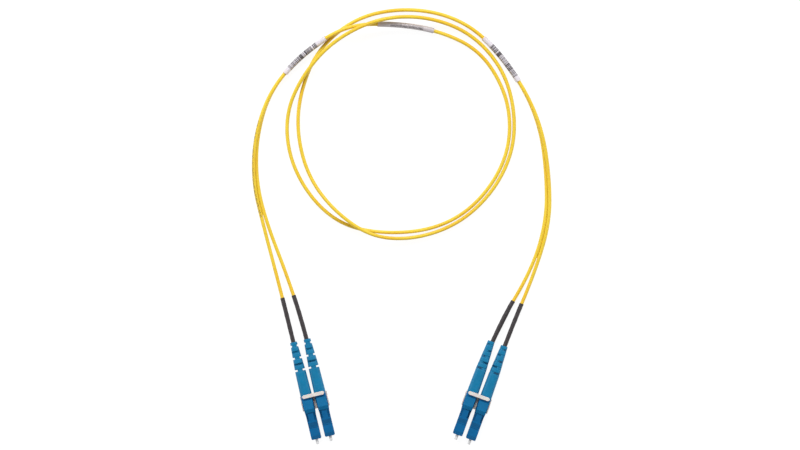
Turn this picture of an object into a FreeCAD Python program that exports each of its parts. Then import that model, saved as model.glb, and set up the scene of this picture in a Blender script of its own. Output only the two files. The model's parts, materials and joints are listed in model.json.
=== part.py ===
"""Duplex fibre optic patch cord: two duplex LC plugs joined by a yellow zip cord in two loose turns.

Frame: +Z up, z = 0 is the surface that the cord lies on, +Y runs from the plugs towards the
coil, and the origin is the middle of the box round the two pairs of plugs.

Each plug has its own frame: x runs back from the housing's front face towards the boot, y is
across the pair, z is up from the ferrule's axis. All lengths are in millimetres.
"""

import FreeCAD, Part
import math
import os

import Sketcher
from FreeCAD import Vector

DIMENSIONS = {
    # where the two duplex plugs lie, and which way their boots point from +X
    "left_x": -34,
    "left_y": -20.9,
    "left_heading": 103.5,
    "right_x": 29.1,
    "right_y": -20.8,
    "right_heading": 70,
    "axis_height": 3.05,
    "ferrule_pitch": 6.25,
    # ferrule and the metal flange that carries it
    "ferrule_radius": 0.6245,
    "ferrule_reach": 2.3,
    "ferrule_seat": 2.9,
    "ferrule_seat_radius": 0.42,
    "ferrule_tail": 4.7,
    "ferrule_bevel": 0.18,
    "flange_front": 3.52,
    "flange_step": 5.3,
    "flange_back": 9.5,
    "flange_radius": 1.2,
    "flange_tube_radius": 0.8,
    "flange_bore_radius": 0.5,
    # spring behind the flange
    "spring_coil_radius": 1.02,
    "spring_wire_radius": 0.13,
    "spring_pitch": 1.1,
    "spring_end_gap": 0.03,
    # front housing
    "housing_width": 4.5,
    "housing_back_width": 5,
    "housing_length": 13.4,
    "flare_start": 10.9,
    "nose_length": 1.7,
    "nose_drop": 0.72,
    "nose_bevel": 0.35,
    "root_end": 5.2,
    "deck_height": 1.6,
    "socket_radius": 1.35,
    "socket_depth": 3,
    "throat_radius": 0.95,
    "chamber_front": 3.5,
    "chamber_radius": 1.3,
    # latch arm
    "latch_front": 5.28,
    "latch_back": 12.7,
    "lug_back": 8.5,
    "lug_width": 4.4,
    "latch_width": 2.5,
    # trigger
    "trigger_front": 12.3,
    "trigger_back": 17.9,
    "trigger_width": 4.4,
    # rear body
    "body_front": 13.45,
    "body_back": 20,
    "body_width": 5,
    "body_corner": 0.45,
    "body_bore_radius": 1.55,
    # crimp post and crimp sleeve
    "post_shoulder": 20.3,
    "post_back": 24.6,
    "post_radius": 1.5,
    "post_neck_radius": 1,
    "crimp_front": 20.4,
    "crimp_back": 27,
    "crimp_radius": 1.5,
    "crimp_bore_radius": 1.03,
    "crimp_throat_radius": 0.83,
    # boot
    "boot_front": 20.05,
    "boot_shoulder": 31.3,
    "boot_tip": 44.7,
    "boot_width": 5.2,
    "boot_shoulder_width": 4.8,
    "boot_tip_width": 3.1,
    "boot_corner": 1.15,
    "boot_tip_corner": 0.8,
    "boot_cavity_radius": 1.65,
    "boot_cavity_back": 27.4,
    "boot_bore_radius": 0.85,
    "boot_cut_first": 31.8,
    "boot_cut_pitch": 2.78,
    "boot_cut_width": 0.85,
    "boot_spine": 1.12,
    # duplex clip
    "clip_front": 13.4,
    "clip_wall_back": 17.95,
    "clip_floor": 0.5,
    "clip_wall": 0.5,
    "clip_half_width": 6.2,
    "clip_wall_top": 1.5,
    "clip_web": 1.1,
    "clip_web_top": 0.6,
    "clip_back": 20,
    "bar_front": 18.9,
    "bar_back": 20.5,
    "bar_bottom": 2.65,
    "bar_top": 3.5,
    "bar_half_length": 5.1,
    "bar_corner": 0.6,
    # cord
    "jacket_radius": 0.8,
    "jacket_bore_radius": 0.52,
    "zip_pitch": 1.68,
    "buffer_radius": 0.45,
    "buffer_front": 5.65,
    "jacket_front": 24.7,
    "straight_exit": 5,
    "lead_sleeve_radius": 1,
    "lead_sleeve_bore_radius": 0.82,
    "lead_sleeve_length": 20.5,
    "label_wall": 0.42,
}

# The zip cord's centre from the left split to the right one: x, y, how far it is lifted off
# the surface, and how far the pair leans over from standing on edge, in degrees.
ZIP_ROUTE = [
    (-60.5, 75.5, 0, 90),
    (-65, 94, 0, 62),
    (-64.5, 114.5, 0, 32),
    (-58, 135, 0.45, 0),
    (-44, 151, 0.6, 0),
    (-24.5, 164, 4.6, 0),
    (-3.5, 165, 3, 0),
    (17.5, 162, 0.5, 0),
    (36.5, 153, 0, 0),
    (48, 134.5, 0, 0),
    (50.5, 115.5, 0, 0),
    (45.5, 98, 0, 0),
    (32.5, 81.5, 0, 0),
    (15.5, 72.5, 0, 0),
    (-5.5, 70.5, 0, 0),
    (-25, 74, 0, 0),
    (-39.5, 86, 0, 0),
    (-49.5, 104.5, 0, 0),
    (-51, 124.5, 0, 0),
    (-43.5, 141.5, 3.5, 0),
    (-30, 157, 5, 0),
    (-10, 167, 8.6, 0),
    (11, 168.5, 3, 0),
    (31.5, 161.5, 0, 0),
    (46, 146, 0, 0),
    (52, 127.5, 0, 0),
    (51.5, 108, 0, 0),
    (42.5, 89.5, 0, 0),
    (27, 75, 0, 0),
    (7, 68, 0.4, 0),
    (-12.5, 69, 4, 0),
    (-29.5, 81, 3.6, 0),
    (-41, 96.5, 0, 0),
    (-46, 116, 0, 0),
    (-44.5, 134, 0, 0),
    (-37, 153, 0, 0),
    (-20, 167.5, 0, 0),
    (0.5, 172, 0, 0),
    (21, 169.5, 0, 0),
    (38, 160, 0.45, 0),
    (55, 138.5, 0.45, 0),
    (64, 118, 0, 20),
    (67, 96, 0, 50),
    (67, 76, 0, 78),
    (60.5, 54, 0, 90),
]

# Where a single lead bends between its plug and the split, lying on the surface.
LEAD_BENDS = {
    "left_outer": [(-55, 51.5)],
    "left_inner": [(-50.5, 52)],
    "right_inner": [],
    "right_outer": [],
}

# Each plug: the pair it belongs to, and its side of that pair.
PLUGS = {
    "left_outer": ("left", 1),
    "left_inner": ("left", -1),
    "right_inner": ("right", 1),
    "right_outer": ("right", -1),
}

# Each jacket: the plug it starts from, the plug it ends in, and its side of the zip cord.
JACKETS = {"a": ("left_outer", "right_outer", 1), "b": ("left_inner", "right_inner", -1)}

# Each label: its first and last distance along jacket b, in millimetres.
LABELS = {"label_left": (146, 170.5), "label_middle": (195, 220.5), "label_right": (866, 891)}

ARC_SHARE = 0.45
BOOT_CUTS = 5
# How far round each boot was put on, in degrees: the right pair's show their cuts at a slant.
BOOT_ROLLS = {"left_outer": 0, "left_inner": 0, "right_inner": 45, "right_outer": 135}

doc = FreeCAD.newDocument("patch_cord")


def write_sheet():
    sheet = doc.addObject("Spreadsheet::Sheet", "Dimensions")
    for row, (name, value) in enumerate(DIMENSIONS.items(), start=1):
        sheet.set(f"A{row}", name)
        sheet.set(f"B{row}", str(value))
        sheet.setAlias(f"B{row}", name)
    doc.recompute()
    return sheet


SHEET = write_sheet()


def dim(name):
    return float(SHEET.get(name))


def bound(text):
    """An expression in which each dimension's name stands for its cell."""
    return " ".join(f"Dimensions.{w}" if w in DIMENSIONS else w for w in text.split())


# ---------------------------------------------------------------- sketches and features


def new_body(label):
    body = doc.addObject("PartDesign::Body", label)
    body.Label = label
    return body


def outline(body, plane, points, offset=None, roll=0):
    """A closed sketch whose corners are held by expressions, on one of the body's own planes,
    which may be lifted by an offset or rolled about the sketch's x axis, in degrees."""
    sketch = body.newObject("Sketcher::SketchObject", "Outline")
    base = next(f for f in body.Origin.OriginFeatures if f.Role == plane)
    sketch.AttachmentSupport = [(base, "")]
    sketch.MapMode = "FlatFace"
    if offset:
        sketch.setExpression("AttachmentOffset.Base.z", bound(offset))
    if roll:
        rolled = FreeCAD.Rotation(Vector(1, 0, 0), roll)
        sketch.AttachmentOffset = FreeCAD.Placement(Vector(0, 0, 0), rolled)
    corners = [[float(sketch.evalExpression(bound(t))) for t in p] for p in points]
    for i, start in enumerate(corners):
        end = corners[(i + 1) % len(corners)]
        sketch.addGeometry(Part.LineSegment(Vector(*start, 0), Vector(*end, 0)), False)
    for i, corner in enumerate(corners):
        sketch.addConstraint(Sketcher.Constraint("Coincident", i, 2, (i + 1) % len(corners), 1))
        for k, kind in enumerate(("DistanceX", "DistanceY")):
            index = sketch.addConstraint(Sketcher.Constraint(kind, i, 1, corner[k]))
            sketch.renameConstraint(index, f"{kind}{i}")
            sketch.setExpression(f"Constraints.{kind}{i}", bound(points[i][k]))
    return sketch


def extrude(body, kind, sketch, length, middle=True):
    """A Pad or Pocket of that length, both ways from its sketch or one way."""
    feature = body.newObject(f"PartDesign::{kind}", kind)
    feature.Profile = sketch
    feature.SideType = "Symmetric" if middle else "One side"
    feature.setExpression("Length", bound(length))
    return feature


def turn(body, kind, points):
    """A Revolution or Groove about the body's x axis."""
    feature = body.newObject(f"PartDesign::{kind}", kind)
    sketch = outline(body, "XZ_Plane", points)
    feature.Profile = sketch
    feature.ReferenceAxis = (sketch, ["H_Axis"])
    feature.Angle = 360
    return feature


def turned(label, points):
    body = new_body(label)
    turn(body, "Revolution", points)
    return body


def eight_sided(half_width, half_height, corner):
    """The corners of a rectangle with its corners cut off."""
    inner_width, inner_height = f"( {half_width} - {corner} )", f"( {half_height} - {corner} )"
    turns = (
        (half_width, inner_height),
        (inner_width, half_height),
    )
    (x1, y1), (x2, y2) = turns
    return [
        (x1, f"- {y1}"),
        (x1, y1),
        (x2, y2),
        (f"- {x2}", y2),
        (f"- {x1}", y1),
        (f"- {x1}", f"- {y1}"),
        (f"- {x2}", f"- {y2}"),
        (x2, f"- {y2}"),
    ]


def rectangle(x0, x1, y0, y1):
    return [(x0, y0), (x1, y0), (x1, y1), (x0, y1)]


def place(piece, pair, side=0):
    """Puts a piece drawn in a plug's frame on one side of its pair."""
    across = f"{side} * Dimensions.ferrule_pitch / 2"
    piece.Placement.Rotation = FreeCAD.Rotation(Vector(0, 0, 1), dim(f"{pair}_heading"))
    heading = f"Dimensions.{pair}_heading"
    piece.setExpression("Placement.Base.x", f"Dimensions.{pair}_x - {across} * sin({heading})")
    piece.setExpression("Placement.Base.y", f"Dimensions.{pair}_y + {across} * cos({heading})")
    piece.setExpression("Placement.Base.z", "Dimensions.axis_height")
    piece.setExpression("Placement.Rotation.Angle", heading)
    return piece


# ---------------------------------------------------------------- pieces of one plug


def ferrule(label):
    """The ceramic pin that holds the fibre's end: bevelled at its tip, with a thinner
    stub behind, where the flange is pressed on."""
    return turned(label, [
        ("- ferrule_reach", "0"),
        ("- ferrule_reach", "ferrule_radius - ferrule_bevel"),
        ("ferrule_bevel - ferrule_reach", "ferrule_radius"),
        ("ferrule_seat", "ferrule_radius"),
        ("ferrule_seat", "ferrule_seat_radius"),
        ("ferrule_tail", "ferrule_seat_radius"),
        ("ferrule_tail", "0"),
    ])


def ferrule_flange(label):
    """The metal collar pressed on the ferrule's tail, with the tube that the spring sits on."""
    return turned(label, [
        ("flange_front", "ferrule_seat_radius"),
        ("flange_front", "flange_radius"),
        ("flange_step", "flange_radius"),
        ("flange_step", "flange_tube_radius"),
        ("flange_back", "flange_tube_radius"),
        ("flange_back", "flange_bore_radius"),
        ("ferrule_tail", "flange_bore_radius"),
        ("ferrule_tail", "ferrule_seat_radius"),
    ])


def spring(label):
    """The coil spring that pushes the ferrule forward."""
    body = new_body(label)
    wire = body.newObject("Sketcher::SketchObject", "Wire")
    plane = next(f for f in body.Origin.OriginFeatures if f.Role == "XZ_Plane")
    wire.AttachmentSupport = [(plane, "")]
    wire.MapMode = "FlatFace"
    start = Vector(dim("flange_step"), dim("spring_coil_radius"), 0)
    wire.addGeometry(Part.Circle(start, Vector(0, 0, 1), dim("spring_wire_radius")), False)
    for kind, place_text in (
        ("DistanceX", "flange_step + spring_wire_radius + spring_end_gap"),
        ("DistanceY", "spring_coil_radius"),
    ):
        value = float(wire.evalExpression(bound(place_text)))
        index = wire.addConstraint(Sketcher.Constraint(kind, 0, 3, value))
        wire.renameConstraint(index, kind)
        wire.setExpression(f"Constraints.{kind}", bound(place_text))
    index = wire.addConstraint(Sketcher.Constraint("Radius", 0, dim("spring_wire_radius")))
    wire.renameConstraint(index, "Radius")
    wire.setExpression("Constraints.Radius", bound("spring_wire_radius"))
    coil = body.newObject("PartDesign::AdditiveHelix", "Coil")
    coil.Profile = wire
    coil.ReferenceAxis = (wire, ["H_Axis"])
    coil.Mode = "pitch-height-angle"
    coil.setExpression("Pitch", bound("spring_pitch"))
    coil.setExpression(
        "Height",
        bound("housing_length - flange_step - 2 * ( spring_wire_radius + spring_end_gap )"),
    )
    return body


def front_housing(label):
    """The square front shell, flared at its back, with a low deck behind the latch's root."""
    body = new_body(label)
    half, back = "housing_width / 2", "housing_back_width / 2"
    plan = outline(body, "XY_Plane", [
        ("0", f"nose_bevel - {half}"),
        ("nose_bevel", f"- {half}"),
        ("flare_start", f"- {half}"),
        ("housing_length", f"- {back}"),
        ("housing_length", back),
        ("flare_start", half),
        ("nose_bevel", half),
        ("0", f"{half} - nose_bevel"),
    ])
    extrude(body, "Pad", plan, "housing_width")
    slope = outline(body, "XZ_Plane", [
        ("0", f"{half} - nose_drop"),
        ("nose_length", half),
        ("nose_length", f"{half} + 1"),
        ("-1", f"{half} + 1"),
        ("-1", f"{half} - nose_drop"),
    ])
    extrude(body, "Pocket", slope, "housing_width * 2")
    deck = outline(
        body, "XZ_Plane",
        rectangle("root_end", "housing_length + 1", "deck_height", f"{half} + 1"),
    )
    extrude(body, "Pocket", deck, "housing_width * 2")
    chin = outline(body, "XZ_Plane", [
        ("-1", f"nose_bevel - {half}"),
        ("0", f"nose_bevel - {half}"),
        ("nose_bevel", f"- {half}"),
        ("nose_bevel", f"-1 - {half}"),
        ("-1", f"-1 - {half}"),
    ])
    extrude(body, "Pocket", chin, "housing_width * 2")
    turn(body, "Groove", [
        ("-1", "0"),
        ("-1", "socket_radius"),
        ("socket_depth", "socket_radius"),
        ("socket_depth", "throat_radius"),
        ("chamber_front", "throat_radius"),
        ("chamber_front", "chamber_radius"),
        ("housing_length + 1", "chamber_radius"),
        ("housing_length + 1", "0"),
    ])
    return body


def latch_arm(label):
    """The sprung arm: full-width lugs at its front, and a narrow tail under the trigger."""
    body = new_body(label)
    root_top = "housing_width / 2"
    profile = [
        ("latch_front", "1.74"),
        ("latch_front", root_top),
        ("5.75", "2.3"),
        ("7.8", "3.4"),
        ("lug_back", "3.45"),
        ("latch_back - 0.3", "4.02"),
        ("latch_back", "3.9"),
        ("latch_back", "3.6"),
        ("8.2", "2.9"),
        ("6.2", "1.95"),
        ("5.9", "1.74"),
    ]
    extrude(body, "Pad", outline(body, "XZ_Plane", profile), "latch_width")
    lugs = profile[:5] + [("lug_back", "2.8")] + profile[8:]
    extrude(body, "Pad", outline(body, "XZ_Plane", lugs), "lug_width")
    return body


def trigger(label):
    """The thumb lever hinged on the rear body, whose nose presses the latch arm's tail."""
    body = new_body(label)
    profile = [
        ("trigger_back", "2.55"),
        ("trigger_back", "2.95"),
        ("17.4", "3.15"),
        ("14.3", "4.86"),
        ("13.9", "4.98"),
        ("trigger_front", "4.4"),
        ("trigger_front", "4.22"),
        ("13.9", "4.22"),
        ("17.35", "2.55"),
    ]
    extrude(body, "Pad", outline(body, "XZ_Plane", profile), "trigger_width")
    return body


def rear_body(label):
    """The square rear shell round the crimp post's front end."""
    body = new_body(label)
    half = "body_width / 2"
    section = outline(body, "YZ_Plane", eight_sided(half, half, "body_corner"), "body_front")
    extrude(body, "Pad", section, "body_back - body_front", middle=False)
    turn(body, "Groove", [
        ("body_front - 1", "0"),
        ("body_front - 1", "body_bore_radius"),
        ("body_back + 1", "body_bore_radius"),
        ("body_back + 1", "0"),
    ])
    return body


def crimp_post(label):
    """The metal tube behind the spring, with a narrow neck for the yarn and the crimp."""
    return turned(label, [
        ("body_front", "flange_bore_radius"),
        ("body_front", "post_radius"),
        ("post_shoulder", "post_radius"),
        ("post_shoulder", "post_neck_radius"),
        ("post_back", "post_neck_radius"),
        ("post_back", "flange_bore_radius"),
    ])


def crimp_sleeve(label):
    """The metal sleeve crimped over the post's neck and the end of the jacket."""
    return turned(label, [
        ("crimp_front", "crimp_bore_radius"),
        ("crimp_front", "crimp_radius"),
        ("crimp_back", "crimp_radius"),
        ("crimp_back", "crimp_throat_radius"),
        ("jacket_front", "crimp_throat_radius"),
        ("jacket_front", "crimp_bore_radius"),
    ])


def boot(label, roll):
    """The bend relief: a square grip that tapers into blocks cut alternately from two sides.

    roll is how far round the boot is put on, in degrees: at 0 its first cut is in its sides.
    """
    body = new_body(label)
    sections = [
        outline(body, "YZ_Plane", eight_sided(f"{width} / 2", f"{width} / 2", corner), where)
        for width, corner, where in (
            ("boot_width", "boot_corner", "boot_front"),
            ("boot_shoulder_width", "boot_corner", "boot_shoulder"),
            ("boot_tip_width", "boot_tip_corner", "boot_tip"),
        )
    ]
    loft = body.newObject("PartDesign::AdditiveLoft", "Grip")
    loft.Profile = sections[0]
    loft.Sections = sections[1:]
    loft.Ruled = True
    for cut in range(BOOT_CUTS):
        cut_roll = roll + 90 * (cut % 2)
        middle = f"( boot_cut_first + {cut} * boot_cut_pitch )"
        front, back = f"{middle} - boot_cut_width / 2", f"{middle} + boot_cut_width / 2"
        for near, far in (("boot_spine", "boot_width"), ("- boot_width", "- boot_spine")):
            sides = rectangle(front, back, near, far)
            sketch = outline(body, "XY_Plane", sides, roll=cut_roll)
            extrude(body, "Pocket", sketch, "boot_width * 2")
    turn(body, "Groove", [
        ("boot_front - 1", "0"),
        ("boot_front - 1", "boot_cavity_radius"),
        ("boot_cavity_back", "boot_cavity_radius"),
        ("boot_cavity_back + 0.8", "boot_bore_radius"),
        ("boot_tip + 1", "boot_bore_radius"),
        ("boot_tip + 1", "0"),
    ])
    return body


def duplex_clip(label):
    """The white clip that holds two plugs side by side: a floor, side walls, web and top bar."""
    body = new_body(label)
    base = "- axis_height"
    floor = outline(
        body, "XY_Plane",
        rectangle("clip_front", "clip_back", "- clip_half_width", "clip_half_width"), base,
    )
    extrude(body, "Pad", floor, "clip_floor", middle=False)
    inner = "( clip_half_width - clip_wall )"
    for near, far in (("- clip_half_width", f"- {inner}"), (inner, "clip_half_width")):
        wall = outline(
            body, "XY_Plane", rectangle("clip_front", "clip_wall_back", near, far), base,
        )
        extrude(body, "Pad", wall, "axis_height + clip_wall_top", middle=False)
    for front, top in (("clip_front", "clip_web_top"), ("bar_front", "bar_bottom + 0.5")):
        web = outline(
            body, "XY_Plane",
            rectangle(front, "clip_back", "- clip_web / 2", "clip_web / 2"), base,
        )
        extrude(body, "Pad", web, f"axis_height + {top}", middle=False)
    start, end, reach, corner = "bar_front", "bar_back", "bar_half_length", "bar_corner"
    bar = outline(body, "XY_Plane", [
        (f"{start} + {corner}", f"- {reach}"),
        (f"{end} - {corner}", f"- {reach}"),
        (end, f"{corner} - {reach}"),
        (end, f"{reach} - {corner}"),
        (f"{end} - {corner}", reach),
        (f"{start} + {corner}", reach),
        (start, f"{reach} - {corner}"),
        (start, f"{corner} - {reach}"),
    ], "bar_bottom")
    extrude(body, "Pad", bar, "bar_top - bar_bottom", middle=False)
    return body


# ---------------------------------------------------------------- the cord's route


def plug_point(plug, back):
    """A point on a plug's axis, that far behind its front face."""
    pair, side = PLUGS[plug]
    heading = math.radians(dim(f"{pair}_heading"))
    across = side * dim("ferrule_pitch") / 2
    along_x, along_y = math.cos(heading), math.sin(heading)
    return Vector(
        dim(f"{pair}_x") + back * along_x - across * along_y,
        dim(f"{pair}_y") + back * along_y + across * along_x,
        dim("axis_height"),
    )


def zip_points(side):
    """The corners of one jacket of the zip cord, or of the pair's own centre with side 0."""
    flat = [Vector(x, y, 0) for x, y, lift, lean in ZIP_ROUTE]
    half_pitch = dim("zip_pitch") / 2
    points = []
    for i, (x, y, lift, lean) in enumerate(ZIP_ROUTE):
        ahead = Vector(0, 0, 0)
        for k in (i, i + 1):
            if 0 < k < len(flat):
                ahead += (flat[k] - flat[k - 1]).normalize()
        left = Vector(-ahead.y, ahead.x, 0).normalize()
        lean = math.radians(lean)
        height = dim("jacket_radius") + half_pitch * math.cos(lean) + lift
        offset = left * math.sin(lean) + Vector(0, 0, math.cos(lean))
        points.append(Vector(x, y, height) + offset * side * half_pitch)
    return points


def jacket_points(name):
    """The corners of one jacket's whole route, from crimp to crimp."""
    start, end, side = JACKETS[name]
    crimp, exit_bend = dim("jacket_front"), dim("boot_tip") + dim("straight_exit")
    floor = dim("jacket_radius")
    first_bends = [Vector(x, y, floor) for x, y in LEAD_BENDS[start]]
    last_bends = [Vector(x, y, floor) for x, y in LEAD_BENDS[end]]
    return (
        [plug_point(start, crimp), plug_point(start, exit_bend)]
        + first_bends + zip_points(side) + last_bends
        + [plug_point(end, exit_bend), plug_point(end, crimp)]
    )


def smooth_edges(points, name=None):
    """Straight runs joined by tangent arcs, each as large as its two runs allow."""
    edges, radii = [], []
    here = points[0]
    for before, corner, after in zip(points, points[1:], points[2:]):
        arriving, leaving = corner - before, after - corner
        reach = ARC_SHARE * min(arriving.Length, leaving.Length)
        half_turn = arriving.getAngle(leaving) / 2
        radius = reach / math.tan(half_turn)
        arriving.normalize()
        leaving.normalize()
        start, end = corner - arriving * reach, corner + leaving * reach
        inward = (leaving - arriving).normalize()
        middle = corner + inward * (radius / math.cos(half_turn) - radius)
        edges += [Part.LineSegment(here, start).toShape(), Part.Arc(start, middle, end).toShape()]
        radii.append(round(radius, 1))
        here = end
    edges.append(Part.LineSegment(here, points[-1]).toShape())
    if name:
        print(f"{name}: length {sum(e.Length for e in edges):.1f} mm, bend radii {radii}")
    return edges


def stretch(edges, start, end):
    """The edges between two distances along a route."""
    kept, passed = [], 0
    for edge in edges:
        low, high = max(start - passed, 0), min(end - passed, edge.Length)
        if high - low > 1e-6:
            first, last = edge.getParameterByLength(low), edge.getParameterByLength(high)
            kept.append(edge.Curve.toShape(first, last))
        passed += edge.Length
    return kept


def swept(edges, sections):
    """The first section swept along the edges, less the rest."""
    wire = Part.Wire(edges)
    solids = [wire.makePipeShell([section], True, False) for section in sections]
    return solids[0].cut(solids[1:]) if solids[1:] else solids[0]


def ring(edges, radius):
    """A circle square to the start of the edges."""
    first = edges[0]
    return Part.Wire(Part.Circle(first.valueAt(first.FirstParameter), tangent(first), radius).toShape())


def tangent(edge):
    return edge.tangentAt(edge.FirstParameter)


def oval(edges, grow):
    """An upright oval round both jackets, square to the start of the edges."""
    first = edges[0]
    centre, along = first.valueAt(first.FirstParameter), tangent(first)
    across = along.cross(Vector(0, 0, 1)).normalize()
    up = across.cross(along).normalize()
    radius, half_pitch = dim("jacket_radius") + grow, dim("zip_pitch") / 2
    high, low = centre + up * half_pitch, centre - up * half_pitch
    side = across * radius
    return Part.Wire([
        Part.LineSegment(low + side, high + side).toShape(),
        Part.Arc(high + side, high + up * radius, high - side).toShape(),
        Part.LineSegment(high - side, low - side).toShape(),
        Part.Arc(low - side, low - up * radius, low + side).toShape(),
    ])


def soft_piece(label, shape):
    piece = doc.addObject("Part::Feature", label)
    piece.Label = label
    piece.Shape = shape
    return piece


def tube(label, edges, radius, bore=None):
    radii = [radius, bore] if bore else [radius]
    piece = soft_piece(label, swept(edges, [ring(edges, r) for r in radii]))
    area = math.pi * (radius**2 - (bore or 0) ** 2)
    expected = area * sum(e.Length for e in edges)
    print(f"{label}: volume {piece.Shape.Volume:.2f}, section times length {expected:.2f}")
    return piece


# ---------------------------------------------------------------- the assembly


def make_plug(plug):
    pair, side = PLUGS[plug]
    makers = (
        ferrule, ferrule_flange, spring, front_housing, latch_arm, trigger, rear_body,
        crimp_post, crimp_sleeve,
    )
    pieces = [place(make(f"{make.__name__}_{plug}"), pair, side) for make in makers]
    pieces.append(place(boot(f"boot_{plug}", BOOT_ROLLS[plug]), pair, side))
    return pieces


def make_cord():
    pieces = []
    sleeve = (dim("lead_sleeve_radius"), dim("lead_sleeve_bore_radius"))
    visible_from = dim("boot_tip") - dim("jacket_front")
    for name, (start, end, side) in JACKETS.items():
        edges = smooth_edges(jacket_points(name), f"jacket_{name}")
        total = sum(e.Length for e in edges)
        pieces.append(
            tube(f"jacket_{name}", edges, dim("jacket_radius"), dim("jacket_bore_radius"))
        )
        first, last = plug_point(start, dim("buffer_front")), plug_point(end, dim("buffer_front"))
        inside = [Part.LineSegment(first, plug_point(start, dim("jacket_front"))).toShape()]
        outside = [Part.LineSegment(plug_point(end, dim("jacket_front")), last).toShape()]
        pieces.append(tube(f"fibre_{name}", inside + edges + outside, dim("buffer_radius")))
        near = visible_from + dim("lead_sleeve_length")
        pieces.append(tube(f"lead_sleeve_{start}", stretch(edges, visible_from, near), *sleeve))
        far = stretch(edges, total - near, total - visible_from)
        pieces.append(tube(f"lead_sleeve_{end}", far, *sleeve))
    return pieces


def make_labels():
    """The wraps on the zip cord, placed by distance along jacket b's route."""
    start, end, side = JACKETS["b"]
    route = jacket_points("b")
    extra = len(LEAD_BENDS[start]) + 2
    centre = route[:extra] + zip_points(0) + route[extra + len(ZIP_ROUTE):]
    edges = smooth_edges(centre)
    pieces = []
    for label, (first, last) in LABELS.items():
        part = stretch(edges, first, last)
        sections = [oval(part, dim("label_wall")), oval(part, 0.05)]
        pieces.append(soft_piece(label, swept(part, sections)))
    return pieces


def main():
    pieces = []
    for plug in PLUGS:
        pieces += make_plug(plug)
    for pair in ("left", "right"):
        pieces.append(place(duplex_clip(f"duplex_clip_{pair}"), pair))
    pieces += make_cord() + make_labels()
    doc.recompute()
    for item in doc.Objects:
        if {"Invalid", "Error"} & set(item.State):
            raise RuntimeError(f"{item.Label} is {item.State}")
    os.makedirs("parts", exist_ok=True)
    for piece in pieces:
        if piece.Shape.isNull() or not piece.Shape.isValid() or piece.Shape.Volume <= 0:
            raise RuntimeError(f"{piece.Label} has a bad shape")
        if len(piece.Shape.Solids) != 1:
            raise RuntimeError(f"{piece.Label} has {len(piece.Shape.Solids)} solids")
        piece.Shape.exportStep(f"parts/{piece.Label}.step")
    print(f"{len(pieces)} sub-parts written")


main()
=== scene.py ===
"""The looks of the duplex fibre optic patch cord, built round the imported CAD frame.

Lengths are written in millimetres and multiplied by MM, because the scene is in metres. Each
plug has its own frame: x runs back from the front face towards the boot, y is across the pair
and z is up from the ferrule's axis.
"""

import json
import math
import random

import bmesh
import bpy
import numpy as np
from mathutils import Matrix, Vector


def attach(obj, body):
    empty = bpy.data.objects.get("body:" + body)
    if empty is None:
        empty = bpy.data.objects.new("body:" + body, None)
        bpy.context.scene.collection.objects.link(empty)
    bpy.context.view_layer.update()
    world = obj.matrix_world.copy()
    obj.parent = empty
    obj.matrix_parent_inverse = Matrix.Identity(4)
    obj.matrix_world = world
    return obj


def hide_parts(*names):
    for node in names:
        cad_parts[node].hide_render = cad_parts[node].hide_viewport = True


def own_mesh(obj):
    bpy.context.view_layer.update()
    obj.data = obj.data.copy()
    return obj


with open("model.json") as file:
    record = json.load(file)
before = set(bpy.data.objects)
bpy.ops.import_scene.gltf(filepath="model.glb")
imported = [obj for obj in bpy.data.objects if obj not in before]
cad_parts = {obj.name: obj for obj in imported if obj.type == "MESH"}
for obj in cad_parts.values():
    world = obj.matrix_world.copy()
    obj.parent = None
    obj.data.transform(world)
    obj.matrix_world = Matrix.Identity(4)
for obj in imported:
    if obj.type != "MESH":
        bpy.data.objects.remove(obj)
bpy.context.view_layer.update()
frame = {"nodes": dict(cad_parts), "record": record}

MM = 0.001
UP = Vector((0, 0, 1))
ROOT = "cord_assembly"
MOUNTS = {mount["name"]: mount for mount in frame["record"]["mounts"]}
BODY_OF = {
    node: body
    for body, nodes in frame["record"]["behaviour"]["bodies"].items()
    for node in nodes
}
SLOT_OF = {part["node"]: part["material_slot"] for part in frame["record"]["subparts"]}

# ---------------------------------------------------------------- sizes, in millimetres

FERRULE_PITCH = 6.25
JACKET_RADIUS = 0.8
ZIP_PITCH = 1.68
JACKET_FRONT = 24.7
BOOT_TIP = 44.7
STRAIGHT_EXIT = 5
SLEEVE_RADIUS = 1
SLEEVE_LENGTH = 20.5

PLUGS = {
    "left_outer": ("left", 1),
    "left_inner": ("left", -1),
    "right_inner": ("right", 1),
    "right_outer": ("right", -1),
}
JACKETS = {"a": ("left_outer", "right_outer", 1), "b": ("left_inner", "right_inner", -1)}

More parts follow.
